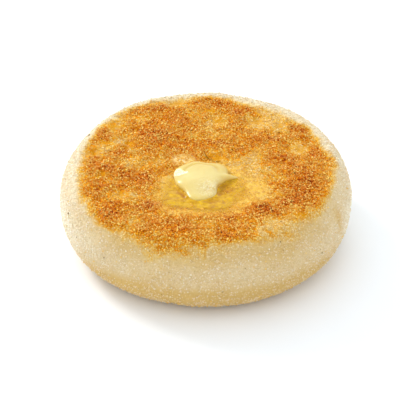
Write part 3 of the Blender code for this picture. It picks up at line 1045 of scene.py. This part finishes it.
meal_places = scatter(5200, heel_density, SHOULDER_LENGTH, BASE_LENGTH + 6 * MM, 85)
meal_grains = grains("cornmeal", meal_places, (0.28 * MM, 0.62 * MM), (1.0, 0.8, 0.6), 0.15, 86)
bran_places = scatter(140, anywhere, 0.0, BASE_LENGTH, 87)
bran_specks = grains("bran_specks", bran_places, (0.24 * MM, 0.50 * MM), (1.0, 0.8, 0.4), 0.20, 88)


# %% [markdown]
# ## The grains' finish
#
# Semolina is a hard, glassy wheat, so each facet can catch the light. It is nearly white on the wall and
# takes colour on the griddle. A random number for each grain keeps neighbours from matching.

# %% Grain materials
def make_grain_material(name, raw, toasted, burnt, dull, roughness, shine=0.2):
    """A grain's colour, from raw to burnt by its toasting, and dulled where its tint is low.

    Cornmeal dust, with painted shade on the front of the wall, and soaked butter then yellow it; roughness
    and shine are the same all over.
    """
    material, tree, shader = new_material(
        name, Roughness=roughness, Specular_IOR_Level=shine, Subsurface_Weight=0.05, Subsurface_Scale=0.0005
    )
    colour = colour_ramp(tree, stored(tree, "toast"), (
        (0.00, screen(*raw)), (0.28, screen(*toasted)), (0.90, screen(*burnt)),
    ))
    _, _, height = fine_grain(tree, 0.3 * MM)
    dark = mix_colour(tree, 1.0, colour, screen(*dull), kind="MULTIPLY")
    varied = mix_colour(tree, stored(tree, "tint"), dark, colour)
    # cornmeal yellow, with painted shade on the front of the wall
    dust_and_shade = maths(tree, "MULTIPLY", stored(tree, "meal_and_front_shade"), 0.60)
    mealy_and_shaded = mix_colour(tree, dust_and_shade, varied, screen(222, 186, 112))
    wet = mix_colour(tree, maths(tree, "MULTIPLY", stored(tree, "soak"), 0.6), mealy_and_shaded, screen(236, 186, 80))
    tree.links.new(wet, shader.inputs["Base Color"])
    add_bump(tree, shader, height, 0.03 * MM)
    return material


dusting = make_grain_material(
    "semolina_dusting", (255, 253, 244), (255, 228, 130), (255, 216, 114), (232, 214, 184), 0.25, shine=0.40
)
semolina = make_grain_material(
    "semolina", (255, 252, 236), (255, 226, 118), (255, 222, 118), (210, 174, 124), 0.28, shine=0.28
)
crumbs = make_grain_material(
    "toasted_crumbs", (250, 214, 130), (242, 178, 58), (230, 138, 36), (222, 196, 158), 0.6
)
cornmeal = make_grain_material(
    "cornmeal", (248, 216, 118), (240, 190, 84), (196, 130, 46), (232, 208, 160), 0.45
)
bran = make_grain_material("bran", (70, 46, 26), (70, 40, 20), (56, 30, 16), (150, 140, 130), 0.7)
finishes = (
    (wall_grains, dusting), (top_grains, semolina), (crumb_grains, crumbs), (meal_grains, cornmeal),
    (bran_specks, bran),
)
for piece, material in finishes:
    piece.data.materials.append(material)

# %% [markdown]
# ## The table, the light and the camera
#
# The bread is shown on plain white under soft light: a bright sky-like surround, and a large lamp behind on
# the left, which puts the shine on the butter. The lamp is big and near, so the shadow stays soft.

# %% Floor
FLOOR_HALF = 3.0
floor_points = np.array([[-1, -1, 0], [1, -1, 0], [1, 1, 0], [-1, 1, 0]]) * FLOOR_HALF
floor = new_piece("floor", floor_points - [0, 0, 0.00002], [(0, 1, 2, 3)], smooth=False)
white, white_tree, white_shader = new_material("white_table", Roughness=0.6)
speckle, _, _ = fine_grain(white_tree, 0.05)
floor_colour = mix_colour(white_tree, speckle, (0.93, 0.93, 0.93, 1.0), (0.95, 0.95, 0.95, 1.0))
white_tree.links.new(floor_colour, white_shader.inputs["Base Color"])
floor.data.materials.append(white)


# %% Lamp and surround
KEY_PLACE, KEY_SIZE, KEY_POWER = (-0.66, 0.58, 0.60), 0.34, 6.4
SURROUND_COLOUR, SURROUND_STRENGTH = (0.905, 0.955, 1.0, 1.0), 1.215


def soft_lamp(name, place, size, power):
    """A square area lamp that points at the muffin and isn't seen itself."""
    data = bpy.data.lights.new(name, "AREA")
    data.size = size
    data.energy = power
    lamp = bpy.data.objects.new(name, data)
    lamp.location = place
    lamp.rotation_euler = Vector(place).to_track_quat("Z", "Y").to_euler()
    lamp.visible_camera = False
    bpy.context.scene.collection.objects.link(lamp)


soft_lamp("key", KEY_PLACE, KEY_SIZE, KEY_POWER)
world = bpy.data.worlds.new("surround")
world.use_nodes = True
world.node_tree.nodes["Background"].inputs["Color"].default_value = SURROUND_COLOUR
world.node_tree.nodes["Background"].inputs["Strength"].default_value = SURROUND_STRENGTH
bpy.context.scene.world = world
bpy.context.scene.view_settings.view_transform = "Standard"

# %% Camera
CAMERA_RISE = np.radians(36)
CAMERA_DISTANCE = 0.43
CAMERA_LENS = 116.5
AIM_LEFT, AIM_DOWN = 0.00186, 0.00178
middle = Vector((0.0, 0.0, 0.014))
across, upward = Vector((1, 0, 0)), Vector((0, np.sin(CAMERA_RISE), np.cos(CAMERA_RISE)))
target = middle - AIM_LEFT * across - AIM_DOWN * upward
backward = Vector((0, -np.cos(CAMERA_RISE), np.sin(CAMERA_RISE)))
camera_data = bpy.data.cameras.new("camera")
camera_data.lens = CAMERA_LENS
camera_data.sensor_width = 36.0
camera = bpy.data.objects.new("camera", camera_data)
camera.location = target + CAMERA_DISTANCE * backward
camera.rotation_euler = backward.to_track_quat("Z", "Y").to_euler()
bpy.context.scene.collection.objects.link(camera)
bpy.context.scene.camera = camera
